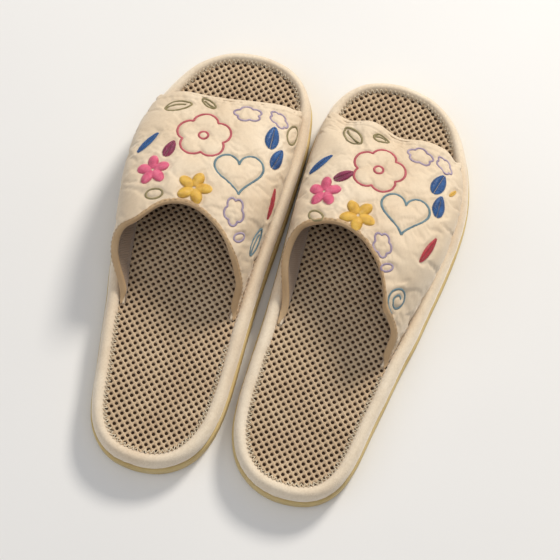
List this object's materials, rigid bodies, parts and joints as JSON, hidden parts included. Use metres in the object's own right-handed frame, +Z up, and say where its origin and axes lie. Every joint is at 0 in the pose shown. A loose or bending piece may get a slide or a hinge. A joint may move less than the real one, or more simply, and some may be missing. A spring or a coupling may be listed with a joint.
{
  "type": "spa slippers",
  "caption": "Pair of open-toe, open-heel spa slippers with a mesh footbed, padded fabric edge, embroidered padded upper and flat treaded sole.",
  "frame": {"origin": "centre of the pair's footprint box, on the ground plane that both soles rest on", "axes": "+Y from the heels to the toes, +Z up, +X towards the right slipper"},
  "size_m": [0.2038, 0.2679, 0.0582],
  "materials": {
    "outsole": "matt foamed rubber, pale straw yellow",
    "board": "stiff pressed board",
    "foam": "soft white foam",
    "mesh": "beige knitted spacer mesh with open diamond holes",
    "cord": "twisted cotton filler cord",
    "edge_fabric": "short-pile cream fabric",
    "upper_fabric": "smooth cream fabric with a soft satin sheen",
    "padding": "white wadding",
    "lining": "thin beige knitted lining",
    "binding": "folded tan fabric tape",
    "thread_cream": "cream sewing thread",
    "thread_rose": "rose embroidery thread",
    "thread_blue": "deep blue embroidery thread",
    "thread_gold": "golden yellow embroidery thread",
    "thread_red": "red embroidery thread",
    "thread_lilac": "lilac embroidery thread",
    "thread_teal": "grey-teal embroidery thread",
    "thread_olive": "olive embroidery thread"
  },
  "bodies": {
    "left_slipper": {"left_outsole": "outsole", "left_board": "board", "left_footbed_foam": "foam", "left_sock_mesh": "mesh", "left_edge_cord": "cord", "left_edge_cover": "edge_fabric", "left_upper_shell": "upper_fabric", "left_upper_padding": "padding", "left_upper_lining": "lining", "left_toe_binding": "upper_fabric", "left_throat_binding": "binding", "left_seam_stitches": "thread_cream", "left_motif_rose": "thread_rose", "left_motif_blue": "thread_blue", "left_motif_gold": "thread_gold", "left_motif_red": "thread_red", "left_motif_lilac": "thread_lilac", "left_motif_teal": "thread_teal", "left_motif_olive": "thread_olive"},
    "right_slipper": {"right_outsole": "outsole", "right_board": "board", "right_footbed_foam": "foam", "right_sock_mesh": "mesh", "right_edge_cord": "cord", "right_edge_cover": "edge_fabric", "right_upper_shell": "upper_fabric", "right_upper_padding": "padding", "right_upper_lining": "lining", "right_toe_binding": "upper_fabric", "right_throat_binding": "binding", "right_seam_stitches": "thread_cream", "right_motif_rose": "thread_rose", "right_motif_blue": "thread_blue", "right_motif_gold": "thread_gold", "right_motif_red": "thread_red", "right_motif_lilac": "thread_lilac", "right_motif_teal": "thread_teal", "right_motif_olive": "thread_olive"}
  },
  "joints": [
    {"name": "right_slipper_spread", "type": "slide", "parent": "left_slipper", "child": "right_slipper", "axis": [1, 0, 0], "range_m": [0, 0.2]}
  ]
}
